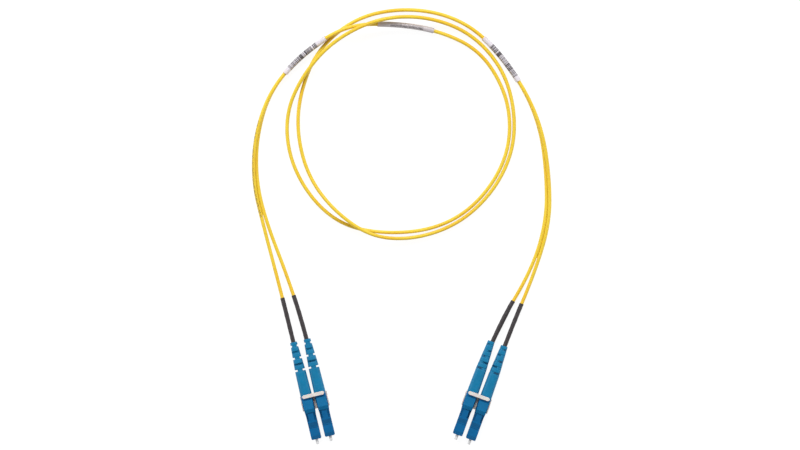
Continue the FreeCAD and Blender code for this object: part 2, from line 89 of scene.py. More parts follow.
# The zip cord's centre from the left split to the right one: x, y, how far it is lifted off
# the surface, and how far the pair leans over from standing on edge, in degrees.
ZIP_ROUTE = [
    (-60.5, 75.5, 0, 90),
    (-65, 94, 0, 62),
    (-64.5, 114.5, 0, 32),
    (-58, 135, 0.45, 0),
    (-44, 151, 0.6, 0),
    (-24.5, 164, 4.6, 0),
    (-3.5, 165, 3, 0),
    (17.5, 162, 0.5, 0),
    (36.5, 153, 0, 0),
    (48, 134.5, 0, 0),
    (50.5, 115.5, 0, 0),
    (45.5, 98, 0, 0),
    (32.5, 81.5, 0, 0),
    (15.5, 72.5, 0, 0),
    (-5.5, 70.5, 0, 0),
    (-25, 74, 0, 0),
    (-39.5, 86, 0, 0),
    (-49.5, 104.5, 0, 0),
    (-51, 124.5, 0, 0),
    (-43.5, 141.5, 3.5, 0),
    (-30, 157, 5, 0),
    (-10, 167, 8.6, 0),
    (11, 168.5, 3, 0),
    (31.5, 161.5, 0, 0),
    (46, 146, 0, 0),
    (52, 127.5, 0, 0),
    (51.5, 108, 0, 0),
    (42.5, 89.5, 0, 0),
    (27, 75, 0, 0),
    (7, 68, 0.4, 0),
    (-12.5, 69, 4, 0),
    (-29.5, 81, 3.6, 0),
    (-41, 96.5, 0, 0),
    (-46, 116, 0, 0),
    (-44.5, 134, 0, 0),
    (-37, 153, 0, 0),
    (-20, 167.5, 0, 0),
    (0.5, 172, 0, 0),
    (21, 169.5, 0, 0),
    (38, 160, 0.45, 0),
    (55, 138.5, 0.45, 0),
    (64, 118, 0, 20),
    (67, 96, 0, 50),
    (67, 76, 0, 78),
    (60.5, 54, 0, 90),
]

# Where a single lead bends between its plug and the split, lying on the surface.
LEAD_BENDS = {
    "left_outer": [(-55, 51.5)],
    "left_inner": [(-50.5, 52)],
    "right_inner": [],
    "right_outer": [],
}

# Each label: its first and last distance along the pair from the left crimps.
LABELS = {"left": (146, 170.5), "middle": (195, 220.5), "right": (866, 891)}


# ---------------------------------------------------------------- the camera and the stage


CAMERA_PLACE = (0.4, 74.5, 2000)
CAMERA_LENS = 200
SENSOR_WIDTH = 36
# Each light's place and size, in metres, and its power in watts. All of them face LIT_POINT.
LIT_POINT = (0, 0.07, 0)
LIGHTS = {
    "key": ((-0.1, 0.9, 0.9), (1.3, 0.5), 15),
    "left": ((-0.95, 0.1, 0.6), (1.0, 0.4), 4),
    "right": ((0.95, 0.1, 0.6), (1.0, 0.4), 4),
    "fill": ((0, -0.85, 0.7), (1.0, 0.4), 1.2),
}
WORLD_STRENGTH = 0.19
FLOOR_REACH = 3
FLOOR_DROP = 0.02


def make_camera():
    """Looks straight down on the whole object, with the plugs at the lower edge."""
    data = bpy.data.cameras.new("camera")
    data.lens = CAMERA_LENS
    data.sensor_width = SENSOR_WIDTH
    camera = bpy.data.objects.new("camera", data)
    camera.location = Vector(CAMERA_PLACE) * MM
    bpy.context.scene.collection.objects.link(camera)
    bpy.context.scene.camera = camera


def area_light(name, place, size, power):
    data = bpy.data.lights.new(name, "AREA")
    data.shape = "RECTANGLE"
    data.size, data.size_y = size
    data.energy = power
    light = bpy.data.objects.new(name, data)
    light.location = place
    towards = Vector(LIT_POINT) - Vector(place)
    light.rotation_euler = towards.to_track_quat("-Z", "Y").to_euler()
    bpy.context.scene.collection.objects.link(light)


def make_stage():
    """A pale floor under soft light that comes mostly from beyond the coil."""
    for name, (place, size, power) in LIGHTS.items():
        area_light(name, place, size, power)
    world = bpy.data.worlds.new("studio")
    world.use_nodes = True
    background = world.node_tree.nodes["Background"]
    background.inputs["Color"].default_value = (1, 1, 1, 1)
    background.inputs["Strength"].default_value = WORLD_STRENGTH
    bpy.context.scene.world = world
    bpy.context.scene.view_settings.view_transform = "Standard"
    corners = [(x * FLOOR_REACH, y * FLOOR_REACH, 0) for x, y in ((-1, -1), (1, -1), (1, 1), (-1, 1))]
    floor = mesh_piece("floor", corners, [(0, 1, 2, 3)])
    floor.location.z = -FLOOR_DROP * MM
    floor.data.materials.append(floor_paint())


# ---------------------------------------------------------------- materials


class Surface:
    """A material with one Principled shader, whose patterns are added a step at a time."""

    def __init__(self, name, colour, roughness, **sockets):
        self.material = bpy.data.materials.new(name)
        self.material.use_nodes = True
        self.tree = self.material.node_tree
        self.shader = self.tree.nodes["Principled BSDF"]
        self.shader.inputs["Base Color"].default_value = (*colour, 1)
        self.shader.inputs["Roughness"].default_value = roughness
        for socket, value in sockets.items():
            self.shader.inputs[socket.replace("_", " ")].default_value = value
        self.colour = colour
        self.colour_output = None

    def node(self, kind, inputs=(), **settings):
        node = self.tree.nodes.new(kind)
        for key, value in settings.items():
            setattr(node, key, value)
        for socket, value in dict(inputs).items():
            if isinstance(value, bpy.types.NodeSocket):
                self.tree.links.new(value, node.inputs[socket])
            else:
                node.inputs[socket].default_value = value
        return node

    def math(self, operation, first, second=0.0):
        node = self.node("ShaderNodeMath", {0: first, 1: second}, operation=operation)
        return node.outputs[0]

    def place(self):
        """A point of the surface, in millimetres, in the piece's own space."""
        where = self.node("ShaderNodeTexCoord").outputs["Object"]
        scaled = self.node("ShaderNodeVectorMath", {0: where, 1: (1000, 1000, 1000)}, operation="MULTIPLY")
        return scaled.outputs[0]

    def along(self, length, around):
        """The point unrolled: the distance along the piece and round it, in millimetres."""
        where = self.node("ShaderNodeUVMap", uv_map="unrolled").outputs["UV"]
        scaled = self.node("ShaderNodeVectorMath", {0: where, 1: (length, around, 1)}, operation="MULTIPLY")
        return scaled.outputs[0]

    def noise(self, where, scale, detail=3.0, roughness=0.5):
        inputs = {"Vector": where, "Scale": scale, "Detail": detail, "Roughness": roughness}
        return self.node("ShaderNodeTexNoise", inputs).outputs["Fac"]

    def spread(self, value, low, high, start=0.3, end=0.7):
        """A value from start to end, spread from low to high."""
        inputs = {"Value": value, "From Min": start, "From Max": end, "To Min": low, "To Max": high}
        return self.node("ShaderNodeMapRange", inputs).outputs[0]

    def tint(self, mask, colour):
        """Mixes a colour over what is there, where the mask is 1."""
        mix = self.node("ShaderNodeMix", data_type="RGBA")
        self.tree.links.new(mask, mix.inputs["Factor"])
        if self.colour_output is None:
            mix.inputs[6].default_value = (*self.colour, 1)
        else:
            self.tree.links.new(self.colour_output, mix.inputs[6])
        mix.inputs[7].default_value = (*colour, 1)
        self.colour_output = mix.outputs[2]
        self.tree.links.new(self.colour_output, self.shader.inputs["Base Color"])

    def rough(self, value, low, high):
        self.tree.links.new(self.spread(value, low, high), self.shader.inputs["Roughness"])

    def bump(self, height, distance, strength=1.0):
        """Raises the surface by up to that distance, in millimetres."""
        inputs = {"Height": height, "Distance": distance * MM, "Strength": strength}
        node = self.node("ShaderNodeBump", inputs)
        before = self.shader.inputs["Normal"]
        if before.is_linked:
            self.tree.links.new(before.links[0].from_socket, node.inputs["Normal"])
        self.tree.links.new(node.outputs["Normal"], before)


def shaded(colour, share):
    return tuple(min(channel * share, 1) for channel in colour)


def floor_paint():
    surface = Surface("floor_paint", (0.18, 0.18, 0.18), 0.9, Specular_IOR_Level=0.1)
    surface.shader.inputs["Emission Color"].default_value = (1, 1, 1, 1)
    surface.shader.inputs["Emission Strength"].default_value = 0.9
    surface.tint(surface.spread(surface.noise(surface.place(), 0.02), 0, 1), (0.165, 0.165, 0.17))
    return surface.material


def moulded(name, colour, roughness, grain, cloud=0.35, **sockets):
    """Injection-moulded plastic: faint clouds in the colour, uneven gloss and a fine skin."""
    surface = Surface(name, colour, roughness, **sockets)
    where = surface.place()
    clouds = surface.noise(where, cloud, 4)
    surface.tint(surface.spread(clouds, 0, 0.8), shaded(colour, 0.84))
    surface.tint(surface.spread(surface.noise(where, 1.7, 2), 0, 0.35, 0.5, 0.8), shaded(colour, 1.22))
    surface.rough(surface.noise(where, 0.9, 4), roughness * 0.8, roughness * 1.3)
    surface.bump(surface.noise(where, 9, 5, 0.6), grain)
    return surface


def housing_plastic():
    surface = moulded("housing_blue", (0.004, 0.118, 0.305), 0.4, 0.006, Specular_IOR_Level=0.15)
    return surface.material


def lever_plastic():
    surface = moulded("lever_blue", (0.006, 0.13, 0.30), 0.6, 0.006, Specular_IOR_Level=0.06)
    return surface.material


def boot_rubber():
    """Soft moulded elastomer, a little greener than the shells, with a fine matt skin."""
    colour = (0.003, 0.18, 0.36)
    surface = moulded("boot_blue", colour, 0.42, 0.012, Specular_IOR_Level=0.3)
    return surface.material


def clip_plastic():
    """Off-white plastic that lets a little light in."""
    colour = (0.74, 0.69, 0.655)
    surface = moulded(
        "clip_white", colour, 0.38, 0.008, Subsurface_Weight=0.15, Subsurface_Scale=0.6 * MM
    )
    return surface.material


def ceramic():
    surface = Surface("ferrule_ceramic", (0.74, 0.74, 0.745), 0.3)
    where = surface.place()
    surface.tint(surface.spread(surface.noise(where, 0.6), 0, 0.6), (0.48, 0.48, 0.485))
    surface.rough(surface.noise(where, 2.5), 0.22, 0.38)
    surface.bump(surface.noise(where, 30, 2), 0.001)
    return surface.material


def plated_metal():
    """Turned and plated metal, with fine tool marks."""
    surface = Surface("plug_metal", (0.6, 0.59, 0.57), 0.28, Metallic=1.0, Anisotropic=0.4)
    where = surface.place()
    surface.tint(surface.spread(surface.noise(where, 1.2), 0, 0.6), (0.48, 0.46, 0.43))
    surface.rough(surface.noise(where, 6), 0.2, 0.4)
    surface.bump(surface.noise(where, 25, 3), 0.003)
    return surface.material


# The print's stretch along the jacket, its height, how far round it lies at each end, how fine
# its specks are and how many of them there are, from 0 for all to 1 for none.
PRINT_START = 78
PRINT_END = 122
PRINT_HEIGHT = 0.9
PRINT_AROUND = (1.5, 2.1)
PRINT_SCALE = 2.6
PRINT_CUTOFF = 0.52


def jacket_print(surface, where):
    """Faint specks in a line along the jacket, standing for its worn print."""
    parts = surface.node("ShaderNodeSeparateXYZ", {0: where})
    along, around = parts.outputs[0], parts.outputs[1]
    middle = surface.spread(along, *PRINT_AROUND, PRINT_START, PRINT_END)
    off_middle = surface.math("ABSOLUTE", surface.math("SUBTRACT", around, middle))
    inside = surface.math("LESS_THAN", off_middle, PRINT_HEIGHT / 2)
    after_start = surface.math("GREATER_THAN", along, PRINT_START)
    before_end = surface.math("LESS_THAN", along, PRINT_END)
    area = surface.math("MULTIPLY", inside, surface.math("MULTIPLY", after_start, before_end))
    specks = surface.math("GREATER_THAN", surface.noise(where, PRINT_SCALE, 1), PRINT_CUTOFF)
    surface.tint(surface.math("MULTIPLY", area, specks), (0.16, 0.12, 0.05))


def jacket_plastic(name, length, printed=False):
    """Extruded yellow jacket: faint streaks along it, slow colour change and a soft gloss."""
    colour = (0.79, 0.545, 0.03)
    surface = Surface(name, colour, 0.4, Specular_IOR_Level=0.35)
    where = surface.along(length, 2 * math.pi * JACKET_RADIUS)
    stretched = surface.node(
        "ShaderNodeVectorMath", {0: where, 1: (0.12, 3, 1)}, operation="MULTIPLY"
    ).outputs[0]
    streaks = surface.noise(stretched, 1.0, 4, 0.6)
    surface.tint(surface.spread(streaks, 0, 0.5), shaded(colour, 0.86))
    surface.tint(surface.spread(surface.noise(surface.place(), 0.05, 2), 0, 0.5), (0.86, 0.64, 0.06))
    surface.tint(surface.spread(surface.noise(where, 0.035, 2), 0, 0.45, 0.48, 0.62), (0.76, 0.42, 0.012))
    if printed:
        jacket_print(surface, where)
    surface.rough(surface.noise(where, 1.3, 4), 0.28, 0.48)
    surface.bump(streaks, 0.008)
    surface.bump(surface.noise(surface.place(), 12, 3), 0.004)
    return surface.material


def sleeve_plastic():
    """Charcoal shrunk tubing, slightly uneven where it gripped the jacket."""
    colour = (0.029, 0.024, 0.027)
    surface = Surface("sleeve_dark", colour, 0.45, Specular_IOR_Level=0.35)
    where = surface.along(SLEEVE_LENGTH, 2 * math.pi * SLEEVE_RADIUS)
    surface.tint(surface.spread(surface.noise(where, 0.6, 4), 0, 1), (0.05, 0.043, 0.046))
    surface.rough(surface.noise(where, 2, 3), 0.36, 0.58)
    surface.bump(surface.noise(where, 0.9, 4), 0.05)
    surface.bump(surface.noise(where, 14, 3), 0.006)
    return surface.material


def label_film(name, colour):
    """Pale wrapped film, tinted by what is under it near its ends."""
    surface = Surface(name, colour, 0.32, Coat_Weight=0.25, Coat_Roughness=0.2)
    ends = surface.node("ShaderNodeUVMap", uv_map="unrolled").outputs["UV"]
    share = surface.node("ShaderNodeSeparateXYZ", {0: ends}).outputs[0]
    from_middle = surface.math("ABSOLUTE", surface.math("SUBTRACT", share, 0.5))
    surface.tint(surface.spread(from_middle, 0, 0.55, 0.42, 0.5), (0.78, 0.60, 0.56))
    clouds = surface.noise(surface.place(), 1.1, 4)
    surface.tint(surface.spread(clouds, 0, 0.4), shaded(colour, 0.86))
    surface.rough(surface.noise(surface.place(), 2, 3), 0.24, 0.42)
    surface.bump(surface.noise(surface.place(), 2.5, 3), 0.02)
    return surface.material


def ink(name, colour):
    surface = Surface(name, colour, 0.4, Coat_Weight=0.25, Coat_Roughness=0.2)
    patchy = surface.noise(surface.place(), 6, 3)
    surface.tint(surface.spread(patchy, 0, 0.5), shaded(colour, 1.7))
    surface.bump(surface.noise(surface.place(), 2.5, 3), 0.02)
    return surface.material


# ---------------------------------------------------------------- mesh helpers


def mesh_piece(name, points, faces, uvs=None):
    """A mesh object from points in metres; uvs has one pair for each corner of each face."""
    mesh = bpy.data.meshes.new(name)
    mesh.from_pydata([tuple(p) for p in points], [], faces)
    if uvs:
        layer = mesh.uv_layers.new(name="unrolled")
        layer.data.foreach_set("uv", [value for pair in uvs for value in pair])
    mesh.update()
    piece = bpy.data.objects.new(name, mesh)
    bpy.context.scene.collection.objects.link(piece)
    return piece


SMOOTH_ANGLE = 35


def smooth(piece, degrees=SMOOTH_ANGLE):
    piece.data.shade_smooth()
    piece.data.set_sharp_from_angle(angle=math.radians(degrees))


def skin(name, rings, closed=False, inks=None, shares=None):
    """A closed mesh over rings of equal size. closed joins the last ring to the first, as in a
    tube with a wall; otherwise both ends are capped. inks names a material number for a face, and
    shares says how far along each ring lies, where they aren't evenly spaced."""
    count = len(rings[0])
    points = [p for ring in rings for p in ring]
    spans = len(rings) if closed else len(rings) - 1
    faces, uvs, numbers = [], [], []
    for i in range(spans):
        here, there = i * count, ((i + 1) % len(rings)) * count
        u0, u1 = (i / spans, (i + 1) / spans) if shares is None else shares[i:i + 2]
        for k in range(count):
            after = (k + 1) % count
            faces.append((here + k, here + after, there + after, there + k))
            v0, v1 = k / count, (k + 1) / count
            uvs += [(u0, v0), (u0, v1), (u1, v1), (u1, v0)]
            numbers.append(inks(i, k) if inks else 0)
    if not closed:
        last = len(points) - count
        for cap in (tuple(reversed(range(count))), tuple(range(last, last + count))):
            faces.append(cap)
            uvs += [(0.5, 0.5)] * count
            numbers.append(0)
    piece = mesh_piece(name, points, faces, uvs)
    piece.data.polygons.foreach_set("material_index", numbers)
    outward(piece)
    smooth(piece)
    return piece


def outward(piece):
    """Turns every face to the outside."""
    work = bmesh.new()
    work.from_mesh(piece.data)
    bmesh.ops.recalc_face_normals(work, faces=work.faces)
    work.to_mesh(piece.data)
    work.free()


def finish_piece(piece, body, slot, materials, replaced=()):
    for material in materials:
        piece.data.materials.append(material)
    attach(piece, body)
    if replaced:
        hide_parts(*replaced)
    return piece


# ---------------------------------------------------------------- the cord's line


def plug_matrix(plug):
    """The plug's own frame, in metres."""
    pair, side = PLUGS[plug]
    mount = MOUNTS[f"adapter_plug_{pair}"]
    back = -Vector(mount["axis"]).normalized()
    across = UP.cross(back)
    origin = Vector(mount["pos_m"]) + across * side * FERRULE_PITCH / 2 * MM
    matrix = Matrix((back, across, UP)).transposed().to_4x4()
    matrix.translation = origin
    return matrix


def plug_point(plug, back):
    return plug_matrix(plug) @ Vector((back * MM, 0, 0))


def zip_points(side):
    """The corners of one jacket of the zip cord."""
    flat = [Vector((x, y, 0)) for x, y, lift, lean in ZIP_ROUTE]
    half_pitch = ZIP_PITCH / 2
    points = []
    for i, (x, y, lift, lean) in enumerate(ZIP_ROUTE):
        ahead = Vector((0, 0, 0))
        for k in (i, i + 1):
            if 0 < k < len(flat):
                ahead += (flat[k] - flat[k - 1]).normalized()
        left = Vector((-ahead.y, ahead.x, 0)).normalized()
        lean = math.radians(lean)
        height = JACKET_RADIUS + half_pitch * math.cos(lean) + lift
        offset = left * math.sin(lean) + UP * math.cos(lean)
        points.append((Vector((x, y, height)) + offset * side * half_pitch) * MM)
    return points


def jacket_points(name):
    """The corners of one jacket's whole route, from crimp to crimp, in metres."""
    start, end, side = JACKETS[name]
    bends = {
        plug: [Vector((x, y, JACKET_RADIUS)) * MM for x, y in LEAD_BENDS[plug]]
        for plug in (start, end)
    }
    exit_bend = BOOT_TIP + STRAIGHT_EXIT
    return (
        [plug_point(start, JACKET_FRONT), plug_point(start, exit_bend)]
        + bends[start] + zip_points(side) + bends[end]
        + [plug_point(end, exit_bend), plug_point(end, JACKET_FRONT)]
    )


def spline_line(name, corners, steps):
    """The points of a smooth NURBS line that has these corners as its control points."""
    curve = bpy.data.curves.new(name, "CURVE")
    curve.dimensions = "3D"
    spline = curve.splines.new("NURBS")
    spline.points.add(len(corners) - 1)
    for point, corner in zip(spline.points, corners):
        point.co = (*corner, 1)
    spline.order_u = 3
    spline.use_endpoint_u = True
    spline.resolution_u = steps
    holder = bpy.data.objects.new(name, curve)
    line = bpy.data.meshes.new_from_object(holder)
    points = np.array([vertex.co for vertex in line.vertices], float)
    bpy.data.meshes.remove(line)
    bpy.data.objects.remove(holder)
    bpy.data.curves.remove(curve)
    return points


class Route:
    """A line with its lengths, and a direction that counts as up at each point."""

    def __init__(self, points, ups=None):
        self.points = points
        steps = np.linalg.norm(np.diff(points, axis=0), axis=1)
        self.far = np.concatenate([[0], np.cumsum(steps)])
        self.length = float(self.far[-1])
        self.tangents = np.gradient(points, self.far, axis=0)
        self.ups = np.tile([0.0, 0.0, 1.0], (len(points), 1)) if ups is None else ups

    def value(self, table, distance):
        return Vector([float(np.interp(distance, self.far, table[:, k])) for k in range(3)])

    def at(self, distance):
        """The point there, and the directions across and up."""
        along = self.value(self.tangents, distance).normalized()
        up = self.value(self.ups, distance)
        across = along.cross(up).normalized()
        return self.value(self.points, distance), across, across.cross(along).normalized()

    def ring(self, distance, section):
        """A section's points, given across and up in millimetres, set square to the line."""
        centre, across, up = self.at(distance)
        return [centre + (across * x + up * z) * MM for x, z in section]


def circle(radius, sides):
    angles = [2 * math.pi * k / sides for k in range(sides)]
    return [(radius * math.cos(a), radius * math.sin(a)) for a in angles]


# ---------------------------------------------------------------- the cord's pieces


SPLINE_STEPS = 20
JACKET_SIDES = 20
SLEEVE_SIDES = 28
SLEEVE_STATIONS = 60
SLEEVE_TUCK = 1
SLEEVE_SHRINK = 0.02
SLEEVE_LIP = 0.03
SLEEVE_GAP = 0.02
SLEEVE_MOUTH = 0.14
# Each wave in a sleeve's surface: its height, how often it comes and where it starts.
SLEEVE_WAVES = ((0.02, 23, 0), (0.015, 51, 1))
SLEEVE_CALM = 6
WEB_SLACK = 0.12
WEB_INSET = 0.45
WEB_HALF_THICKNESS = 0.26
WEB_WAIST = 0.55


def make_jacket(name, route, material):
    rings = [route.ring(d, circle(JACKET_RADIUS, JACKET_SIDES)) for d in route.far]
    piece = skin(f"zip_jacket_{name}", rings, shares=route.far / route.length)
    return finish_piece(
        piece, ROOT, "jacket_yellow", [material], (f"jacket_{name}", f"fibre_{name}")
    )


def make_sleeve(plug, route, start, direction, material):
    """Shrunk tubing from just inside the boot's tip, with a rolled lip at its free end."""
    rings = []
    for i in range(SLEEVE_STATIONS + 1):
        share = i / SLEEVE_STATIONS
        swell = sum(height * math.sin(share * often + first) for height, often, first in SLEEVE_WAVES)
        swell *= min(1, (1 - share) * SLEEVE_CALM)
        lip = SLEEVE_LIP if i == SLEEVE_STATIONS - 1 else 0
        radius = SLEEVE_RADIUS - SLEEVE_SHRINK + swell + lip
        distance = start + direction * (share * (SLEEVE_LENGTH + SLEEVE_TUCK) - SLEEVE_TUCK) * MM
        rings.append(route.ring(distance, circle(radius, SLEEVE_SIDES)))
    end = start + direction * SLEEVE_LENGTH * MM
    for gap in (SLEEVE_MOUTH, SLEEVE_GAP):
        rings.append(route.ring(end, circle(JACKET_RADIUS + gap, SLEEVE_SIDES)))
    tucked = start - direction * SLEEVE_TUCK * MM
    rings.append(route.ring(tucked, circle(JACKET_RADIUS + SLEEVE_GAP, SLEEVE_SIDES)))
    piece = skin(f"shrink_sleeve_{plug}", rings, closed=True)
    return finish_piece(piece, ROOT, "sleeve_dark", [material], (f"lead_sleeve_{plug}",))


def make_web(line_a, line_b, material):
    """The thin web that holds the two jackets together between the splits."""
    gaps = np.linalg.norm(line_a - line_b, axis=1) / MM
    joined = np.nonzero(gaps < ZIP_PITCH + WEB_SLACK)[0]
    half_width = ZIP_PITCH / 2 - WEB_INSET
    middle = (line_a + line_b) / 2
    route = Route(middle, line_a - line_b)
    section = [(-1, -1), (-WEB_WAIST, 0), (-1, 1), (1, 1), (WEB_WAIST, 0), (1, -1)]
    section = [(x * WEB_HALF_THICKNESS, z * half_width) for x, z in section]
    rings = [route.ring(route.far[i], section) for i in range(joined[0], joined[-1] + 1)]
    piece = skin("zip_web", rings)
    return finish_piece(piece, ROOT, "jacket_yellow", [material])


# ---------------------------------------------------------------- labels


LABEL_STEP = 0.12
LABEL_SIDES = 56
LABEL_WALL = 0.42
LABEL_GAP = 0.02
LABEL_BACK_STEPS = 24
# Where round a label its film overlaps, and by how much the overlapped edge stands up.
SEAM_SHARES = (0.52, 0.80)
SEAM_HEIGHT = 0.04
BAR_SPREAD = (0.7, 1.4)
BAR_TURN = 0.18
BAR_HEIGHT_SHARE = 0.36
BAR_HEIGHT_SHORTER = 0.9
# The rows of specks: where along the label, where round it they start, how far apart they are,
# how much of that a row fills, how many rows, the blank one, and how much of a row is inked.
ROWS_ALONG = (0.22, 0.80)
ROWS_START = 0.24
ROW_PITCH = 0.026
ROW_FILL = 0.8
ROW_COUNT = 6
BLANK_ROW = 3
ROW_INKED = 0.72
ROW_BREAK = 5


def oval(grow, seam=0.0):
    """An upright oval round both jackets. The seam lifts the film's overlapped edge."""
    half_pitch = ZIP_PITCH / 2
    radius = JACKET_RADIUS + grow
    straight, bend = ZIP_PITCH, math.pi * radius
    total = 2 * (straight + bend)
    section = []
    for k in range(LABEL_SIDES):
        s = total * k / LABEL_SIDES
        lift = seam if SEAM_SHARES[0] < k / LABEL_SIDES < SEAM_SHARES[1] else 0
        if s < straight:
            x, z, away = radius, s - half_pitch, (1, 0)
        elif s < straight + bend:
            a = (s - straight) / radius
            away = (math.cos(a), math.sin(a))
            x, z = radius * away[0], half_pitch + radius * away[1]
        elif s < 2 * straight + bend:
            x, z, away = -radius, half_pitch - (s - straight - bend), (-1, 0)
        else:
            a = (s - 2 * straight - bend) / radius
            away = (-math.cos(a), -math.sin(a))
            x, z = radius * away[0], -half_pitch + radius * away[1]
        section.append((x + away[0] * lift, z + away[1] * lift))
    return section


def stripes(seed, *groups):
    """Bars of made-up widths. A group has its start and end, as shares of the label's length,
    how much of it is inked, how wide its bars are in millimetres, and which ink they have."""
    pick = random.Random(seed)
    bars = []
    for start, end, share, width, number in groups:
        s = start
        while s < end:
            bar = width * pick.uniform(*BAR_SPREAD)
            bars.append((s, min(s + bar, end), number))
            s += bar / share
    return bars


def inked_bar(bars, length):
    """Which ink a face of a label has, for a label with bars across it."""
    def number(share, around):
        low, high = 0.5 - BAR_HEIGHT_SHARE, 0.5 + BAR_HEIGHT_SHARE * BAR_HEIGHT_SHORTER
        if not low < (around + BAR_TURN) % 1 < high:
            return 0
        return next((n for s, e, n in bars if s <= share * length <= e), 0)
    return number


def inked_rows(seed, length):
    """Rows of small specks of made-up shapes, in two bands, standing for print too small to read."""
    pick = random.Random(seed)
    steps = int(length / LABEL_STEP) + 2
    rows = {row: [pick.random() < ROW_INKED for _ in range(steps)] for row in range(ROW_COUNT)}

    def number(share, around):
        if not ROWS_ALONG[0] < share < ROWS_ALONG[1]:
            return 0
        side = (around - ROWS_START) / ROW_PITCH
        row = math.floor(side)
        if row not in rows or row == BLANK_ROW or side - row > ROW_FILL:
            return 0
        step = int(share * length / LABEL_STEP)
        return 1 if rows[row][step] and step % ROW_BREAK else 0
    return number


def make_label(name, route, pattern, materials):
    first, last = LABELS[name]
    length = last - first
    stations = round(length / LABEL_STEP)
    outer, inner = oval(LABEL_WALL, seam=SEAM_HEIGHT), oval(LABEL_GAP)
    rings = []
    for i in range(stations + 1):
        distance = (first + length * i / stations) * MM
        rings.append(route.ring(distance, outer))
    for i in range(LABEL_BACK_STEPS + 1):
        distance = (last - length * i / LABEL_BACK_STEPS) * MM
        rings.append(route.ring(distance, inner))

    def inks(i, k):
        if i >= stations:
            return 0
        return pattern((i + 0.5) / stations, (k + 0.5) / LABEL_SIDES)

    piece = skin(f"wrap_{name}", rings, closed=True, inks=inks)
    return finish_piece(piece, ROOT, "label_white", materials, (f"label_{name}",))


def make_labels(route):
    inks = [ink("ink_dark", (0.07, 0.062, 0.067)), ink("ink_grey", (0.19, 0.175, 0.185))]
    length = {name: last - first for name, (first, last) in LABELS.items()}
    n = length["left"]
    left = stripes(
        3,
        (0.13 * n, 0.39 * n, 0.58, 0.36, 1),
        (0.40 * n, 0.47 * n, 0.98, 0.9, 1),
        (0.48 * n, 0.52 * n, 0.5, 0.25, 2),
        (0.53 * n, 0.58 * n, 0.98, 1.1, 1),
        (0.58 * n, 0.69 * n, 0.97, 1.2, 2),
        (0.72 * n, 0.80 * n, 0.7, 0.4, 1),
    )
    m = length["right"]
    right = stripes(
        8,
        (0.20 * m, 0.36 * m, 0.66, 0.36, 1),
        (0.37 * m, 0.44 * m, 0.98, 1.0, 1),
        (0.45 * m, 0.62 * m, 0.6, 0.32, 2),
        (0.63 * m, 0.76 * m, 0.75, 0.5, 1),
        (0.77 * m, 0.90 * m, 0.62, 0.36, 1),
    )
    white = [label_film("label_white", (0.70, 0.66, 0.71))] + inks
    # The middle label's film is a darker copy of the white film: painted shade, not a grey film.
    painted_shade_films = [label_film("label_painted_shade", (0.50, 0.455, 0.47))] + inks
    return [
        make_label("left", route, inked_bar(left, n), white),
        make_label("middle", route, inked_rows(5, length["middle"]), painted_shade_films),
        make_label("right", route, inked_bar(right, m), white),
    ]


def make_cords():
    lines = {name: spline_line(f"line_{name}", jacket_points(name), SPLINE_STEPS) for name in JACKETS}
    routes = {name: Route(line) for name, line in lines.items()}
    pair = Route((lines["a"] + lines["b"]) / 2, lines["a"] - lines["b"])
    length = routes["a"].length / MM
    plain = jacket_plastic("jacket_yellow", length)
    jackets = {"a": jacket_plastic("jacket_yellow_printed", length, printed=True), "b": plain}
    sleeve = sleeve_plastic()
    visible_from = (BOOT_TIP - JACKET_FRONT) * MM
    shared = [make_web(lines["a"], lines["b"], plain)] + make_labels(pair)
    for name, (start, end, side) in JACKETS.items():
        route = routes[name]
        cord = make_jacket(name, route, jackets[name])
        own = [
            make_sleeve(start, route, visible_from, 1, sleeve),
            make_sleeve(end, route, route.length - visible_from, -1, sleeve),
        ]
        plug_point(start, BOOT_TIP)
        [tuple(p) for p in route.points]


# ---------------------------------------------------------------- boots


BOOT_FRONT = 20.05
BOOT_SHOULDER = 31.3
BOOT_WIDTHS = (5.2, 4.8, 3.1)
BOOT_CORNERS = (1.5, 1.45, 0.95)
BOOT_CUTS = 5
BOOT_CUT_FIRST = 31.8
BOOT_CUT_PITCH = 2.78
BOOT_CUT_WIDTH = 0.85
BOOT_SPINE = 1.12
BOOT_BORE = 0.85
BOOT_BORE_LIP = 0.14
BOOT_CAVITY_FRONT = 1
BOOT_SOFT = 0.16
BOOT_SOFT_STEPS = 3
BOOT_SMOOTH_ANGLE = 50
GRIP_STEPS = 10
BLOCK_STEPS = 3
# How far round each boot was put on, in degrees: at 0 its first cut is in its sides.
BOOT_ROLLS = {"left_outer": 0, "left_inner": 0, "right_inner": 45, "right_outer": 135}
CORNER_STEPS = 7
FLAT_STEPS = 4


def rounded(half_y, half_z, corner):
    """The points of a rounded rectangle, always the same number of them."""
    corner = min(corner, half_y * 0.98, half_z * 0.98)
    section = []
    for turn, (y, z) in enumerate(((1, 1), (-1, 1), (-1, -1), (1, -1))):
        centre = (y * (half_y - corner), z * (half_z - corner))
        for k in range(CORNER_STEPS + 1):
            a = math.pi / 2 * (turn + k / CORNER_STEPS)
            section.append((centre[0] + corner * math.cos(a), centre[1] + corner * math.sin(a)))
        following = ((-1, 1), (-1, -1), (1, -1), (1, 1))[turn]
        a = math.pi / 2 * (turn + 1)
        end = (
            following[0] * (half_y - corner) + corner * math.cos(a),
            following[1] * (half_z - corner) + corner * math.sin(a),
        )
        start = section[-1]
        for k in range(1, FLAT_STEPS):
            share = k / FLAT_STEPS
            section.append((start[0] + (end[0] - start[0]) * share, start[1] + (end[1] - start[1]) * share))
    return section


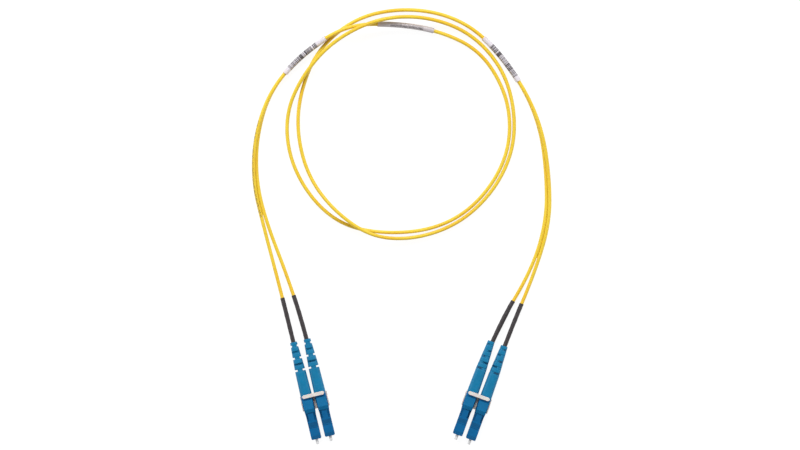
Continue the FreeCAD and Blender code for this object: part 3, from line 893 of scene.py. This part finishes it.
def boot_width(back):
    """Half the boot's width, and its corner radius, that far behind the front face."""
    if back < BOOT_SHOULDER:
        share, k = (back - BOOT_FRONT) / (BOOT_SHOULDER - BOOT_FRONT), 0
    else:
        share, k = (back - BOOT_SHOULDER) / (BOOT_TIP - BOOT_SHOULDER), 1
    width = BOOT_WIDTHS[k] + (BOOT_WIDTHS[k + 1] - BOOT_WIDTHS[k]) * share
    corner = BOOT_CORNERS[k] + (BOOT_CORNERS[k + 1] - BOOT_CORNERS[k]) * share
    return width / 2, corner


def spine(section, roll):
    """What a pair of opposite cuts leaves of a section, for cuts rolled that far round."""
    left = []
    for y, z in section:
        reach = abs(y * math.cos(roll) + z * math.sin(roll))
        share = min(1, BOOT_SPINE / max(reach, BOOT_SPINE / 2))
        left.append((y * share, z * share))
    return left


def make_boot(plug, material):
    """The bend relief, with soft edges round each block."""
    matrix = plug_matrix(plug)
    stations = []

    def block(start, end, steps):
        """A stretch of full section, its edges rounded at both ends."""
        bends = [math.pi / 2 * k / BOOT_SOFT_STEPS for k in range(BOOT_SOFT_STEPS + 1)]
        for a in bends:
            back = start + BOOT_SOFT * (1 - math.cos(a))
            stations.append((back, -BOOT_SOFT * (1 - math.sin(a)), None))
        for k in range(1, steps):
            stations.append((start + (end - start) * k / steps, 0, None))
        for a in bends:
            back = end - BOOT_SOFT * (1 - math.sin(a))
            stations.append((back, -BOOT_SOFT * (1 - math.cos(a)), None))

    edges = [BOOT_FRONT]
    for cut in range(BOOT_CUTS):
        middle = BOOT_CUT_FIRST + cut * BOOT_CUT_PITCH
        edges += [middle - BOOT_CUT_WIDTH / 2, middle + BOOT_CUT_WIDTH / 2]
    edges.append(BOOT_TIP)
    for k in range(0, len(edges), 2):
        block(edges[k], edges[k + 1], GRIP_STEPS if k == 0 else BLOCK_STEPS)
        if k + 2 < len(edges):
            roll = BOOT_ROLLS[plug] + 90 * (k // 2)
            stations.append((edges[k + 1], 0, roll))
            stations.append((edges[k + 2], 0, roll))
    rings = []
    for back, grow, roll in stations:
        half, corner = boot_width(back)
        section = rounded(half + grow, half + grow, corner)
        if roll is not None:
            section = spine(section, math.radians(roll))
        rings.append([matrix @ (Vector((back, y, z)) * MM) for y, z in section])
    bore = (
        (BOOT_TIP, BOOT_BORE + BOOT_BORE_LIP),
        (BOOT_TIP - BOOT_BORE_LIP, BOOT_BORE),
        (BOOT_FRONT + BOOT_CAVITY_FRONT, BOOT_BORE),
        (BOOT_FRONT, BOOT_BORE),
    )
    for back, radius in bore:
        section = rounded(radius, radius, radius)
        rings.append([matrix @ (Vector((back, y, z)) * MM) for y, z in section])
    piece = skin(f"bend_relief_{plug}", rings, closed=True)
    smooth(piece, BOOT_SMOOTH_ANGLE)
    return finish_piece(piece, ROOT, "boot_blue", [material], (f"boot_{plug}",))


# ---------------------------------------------------------------- shells, levers and clips


FACET_ANGLE = 12
FLAT_ANGLE = 1
MERGE_DISTANCE = 0.0005
BEVEL_SEGMENTS = 3
CLIP_EDGE = 0.12


def soft_edges(node, width, material):
    """A copy of a CAD piece with its edges rounded, as they come out of a mould."""
    source = frame["nodes"][node]
    piece = bpy.data.objects.new(f"{node}_moulded", source.data.copy())
    bpy.context.scene.collection.objects.link(piece)
    work = bmesh.new()
    work.from_mesh(piece.data)
    bmesh.ops.remove_doubles(work, verts=work.verts, dist=MERGE_DISTANCE * MM)
    flat = math.radians(FLAT_ANGLE)
    bmesh.ops.dissolve_limit(work, angle_limit=flat, verts=work.verts, edges=work.edges)
    work.to_mesh(piece.data)
    work.free()
    piece.data.materials.clear()
    piece.data.polygons.foreach_set("material_index", [0] * len(piece.data.polygons))
    if piece.data.has_custom_normals:
        with bpy.context.temp_override(object=piece, active_object=piece):
            bpy.ops.mesh.customdata_custom_splitnormals_clear()
    smooth(piece, FACET_ANGLE)
    bevel = piece.modifiers.new("edges", "BEVEL")
    bevel.width = width * MM
    bevel.segments = BEVEL_SEGMENTS
    bevel.limit_method = "ANGLE"
    bevel.angle_limit = math.radians(FACET_ANGLE)
    bevel.use_clamp_overlap = True
    bevel.harden_normals = False
    return finish_piece(piece, BODY_OF[node], SLOT_OF[node], [material], (node,))


def repaint(node, material):
    piece = frame["nodes"][node]
    piece.data.materials.clear()
    piece.data.materials.append(material)
    smooth(piece, FACET_ANGLE)


SPRING_BACK = 13.37
SPRING_SMOOTH_ANGLE = 40


def make_spring(plug, material):
    """The spring, a smooth-shaded copy of the CAD spring with its own mesh."""
    node = f"spring_{plug}"
    piece = bpy.data.objects.new(f"coil_{plug}", frame["nodes"][node].data.copy())
    bpy.context.scene.collection.objects.link(piece)
    piece.data.materials.clear()
    piece.data.polygons.foreach_set("material_index", [0] * len(piece.data.polygons))
    smooth(piece, SPRING_SMOOTH_ANGLE)
    finish_piece(piece, ROOT, SLOT_OF[node], [material], (node,))
    back = plug_matrix(plug).to_3x3() @ Vector((1, 0, 0))
    plug_point(plug, SPRING_BACK)
    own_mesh(piece)


def make_plugs():
    housing, lever, boot = housing_plastic(), lever_plastic(), boot_rubber()
    pin, metal = ceramic(), plated_metal()
    shells = {
        "front_housing": (0.12, housing),
        "rear_body": (0.14, housing),
        "latch_arm": (0.1, housing),
        "trigger": (0.12, lever),
    }
    for plug in PLUGS:
        make_boot(plug, boot)
        for kind, (width, material) in shells.items():
            soft_edges(f"{kind}_{plug}", width, material)
        repaint(f"ferrule_{plug}", pin)
        make_spring(plug, metal)
        for kind in ("ferrule_flange", "crimp_post", "crimp_sleeve"):
            repaint(f"{kind}_{plug}", metal)


def make_clips():
    white = clip_plastic()
    for pair in ("left", "right"):
        soft_edges(f"duplex_clip_{pair}", CLIP_EDGE, white)


make_camera()
make_cords()
make_stage()
make_plugs()
make_clips()
